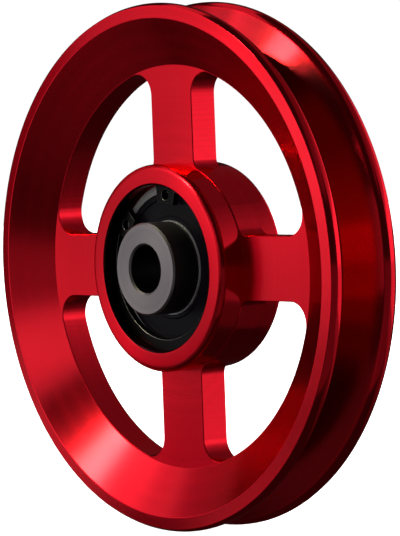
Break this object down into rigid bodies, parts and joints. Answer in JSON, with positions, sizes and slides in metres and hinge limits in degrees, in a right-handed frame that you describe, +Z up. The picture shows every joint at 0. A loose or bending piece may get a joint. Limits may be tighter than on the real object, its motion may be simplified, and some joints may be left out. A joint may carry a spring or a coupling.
{
  "type": "cable pulley wheel",
  "caption": "Grooved aluminium cable pulley with open spokes, a sealed ball bearing held in the hub by a retaining ring, and flanged bushings that take an axle bolt.",
  "frame": {"origin": "centre of the wheel: on the axle's axis, in the middle plane of the rim and the bearing", "axes": "+Y along the axle, from the front (retaining ring side) to the rear; +Z up through one spoke; +X through the next spoke, to the right as seen from the front"},
  "size_m": [0.111, 0.0244, 0.111],
  "materials": {
    "red_aluminium": "red anodised, satin, turned",
    "bushing_steel": "dark turned steel",
    "spring_steel": "black oxide",
    "bearing_steel": "ground",
    "ball_steel": "polished",
    "seal_rubber": "smooth black rubber",
    "cage_plastic": "moulded polyamide"
  },
  "bodies": {
    "bushings": {"front_bushing": "bushing_steel", "rear_bushing": "bushing_steel", "bearing_inner_ring": "bearing_steel"},
    "wheel": {"sheave_wheel": "red_aluminium", "retaining_ring": "spring_steel", "bearing_outer_ring": "bearing_steel", "front_seal": "seal_rubber", "rear_seal": "seal_rubber"},
    "cage": {"bearing_cage": "cage_plastic"},
    "ball_1": {"bearing_ball_1": "ball_steel"},
    "ball_2": {"bearing_ball_2": "ball_steel"},
    "ball_3": {"bearing_ball_3": "ball_steel"},
    "ball_4": {"bearing_ball_4": "ball_steel"},
    "ball_5": {"bearing_ball_5": "ball_steel"},
    "ball_6": {"bearing_ball_6": "ball_steel"},
    "ball_7": {"bearing_ball_7": "ball_steel"},
    "ball_8": {"bearing_ball_8": "ball_steel"}
  },
  "joints": [
    {"name": "wheel_spin", "type": "hinge", "parent": "bushings", "child": "wheel", "pos_m": [0, 0, 0], "axis": [0, 1, 0], "continuous": true},
    {"name": "cage_spin", "type": "hinge", "parent": "bushings", "child": "cage", "pos_m": [0, 0, 0], "axis": [0, 1, 0], "continuous": true},
    {"name": "ball_1_roll", "type": "hinge", "parent": "cage", "child": "ball_1", "pos_m": [0.0125, 0, 0], "axis": [0, 1, 0], "continuous": true},
    {"name": "ball_2_roll", "type": "hinge", "parent": "cage", "child": "ball_2", "pos_m": [0.00884, 0, 0.00884], "axis": [0, 1, 0], "continuous": true},
    {"name": "ball_3_roll", "type": "hinge", "parent": "cage", "child": "ball_3", "pos_m": [0, 0, 0.0125], "axis": [0, 1, 0], "continuous": true},
    {"name": "ball_4_roll", "type": "hinge", "parent": "cage", "child": "ball_4", "pos_m": [-0.00884, 0, 0.00884], "axis": [0, 1, 0], "continuous": true},
    {"name": "ball_5_roll", "type": "hinge", "parent": "cage", "child": "ball_5", "pos_m": [-0.0125, 0, 0], "axis": [0, 1, 0], "continuous": true},
    {"name": "ball_6_roll", "type": "hinge", "parent": "cage", "child": "ball_6", "pos_m": [-0.00884, 0, -0.00884], "axis": [0, 1, 0], "continuous": true},
    {"name": "ball_7_roll", "type": "hinge", "parent": "cage", "child": "ball_7", "pos_m": [0, 0, -0.0125], "axis": [0, 1, 0], "continuous": true},
    {"name": "ball_8_roll", "type": "hinge", "parent": "cage", "child": "ball_8", "pos_m": [0.00884, 0, -0.00884], "axis": [0, 1, 0], "continuous": true}
  ],
  "couplings": [
    {"joint": "cage_spin", "follows": "wheel_spin", "ratio": 0.61906},
    {"joint": "ball_1_roll", "follows": "wheel_spin", "ratio": 1.9807},
    {"joint": "ball_2_roll", "follows": "wheel_spin", "ratio": 1.9807},
    {"joint": "ball_3_roll", "follows": "wheel_spin", "ratio": 1.9807},
    {"joint": "ball_4_roll", "follows": "wheel_spin", "ratio": 1.9807},
    {"joint": "ball_5_roll", "follows": "wheel_spin", "ratio": 1.9807},
    {"joint": "ball_6_roll", "follows": "wheel_spin", "ratio": 1.9807},
    {"joint": "ball_7_roll", "follows": "wheel_spin", "ratio": 1.9807},
    {"joint": "ball_8_roll", "follows": "wheel_spin", "ratio": 1.9807}
  ]
}
